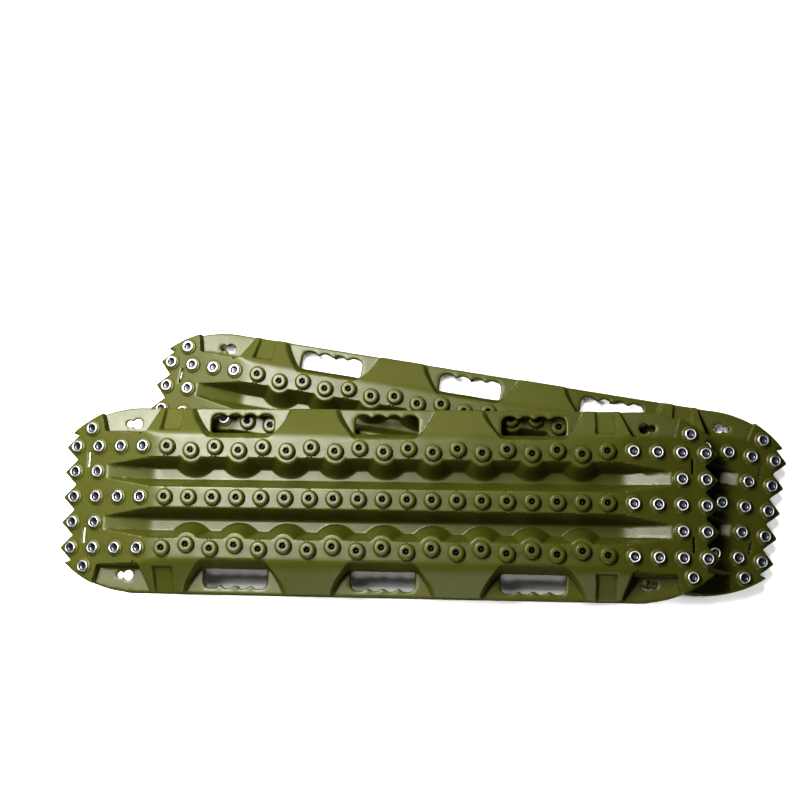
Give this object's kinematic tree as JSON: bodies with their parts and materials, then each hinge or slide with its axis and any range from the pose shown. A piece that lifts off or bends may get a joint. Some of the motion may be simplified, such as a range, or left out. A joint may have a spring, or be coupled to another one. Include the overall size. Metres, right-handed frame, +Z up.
{
  "type": "tire traction mats",
  "caption": "Pair of moulded recovery boards for a stuck vehicle, stacked: knobbed ridges and channels, toothed ends with steel studs, handle holes and keyholes.",
  "frame": {"origin": "on the ground under the middle of the stacked pair's outline", "axes": "+X along the upper board, +Z up, the side away from +Y is the near long side"},
  "size_m": [1.1796, 0.451, 0.1215],
  "materials": {
    "deck": "olive moulded nylon with a fine grain and a satin sheen",
    "stud": "bright turned steel",
    "washer": "zinc plated steel",
    "nut": "zinc plated steel"
  },
  "bodies": {
    "lower_board": {"lower_deck": "deck", "lower_left_outer_studs": "stud", "lower_left_channel_studs": "stud", "lower_left_centre_studs": "stud", "lower_left_corner_studs": "stud", "lower_left_washers": "washer", "lower_left_nuts": "nut", "lower_right_outer_studs": "stud", "lower_right_channel_studs": "stud", "lower_right_centre_studs": "stud", "lower_right_corner_studs": "stud", "lower_right_washers": "washer", "lower_right_nuts": "nut"},
    "upper_board": {"upper_deck": "deck", "upper_left_outer_studs": "stud", "upper_left_channel_studs": "stud", "upper_left_centre_studs": "stud", "upper_left_corner_studs": "stud", "upper_left_washers": "washer", "upper_left_nuts": "nut", "upper_right_outer_studs": "stud", "upper_right_channel_studs": "stud", "upper_right_centre_studs": "stud", "upper_right_corner_studs": "stud", "upper_right_washers": "washer", "upper_right_nuts": "nut"}
  },
  "joints": [
    {"name": "lift", "type": "slide", "parent": "lower_board", "child": "upper_board", "axis": [0, 0, 1], "range_m": [0, 0.3]}
  ]
}
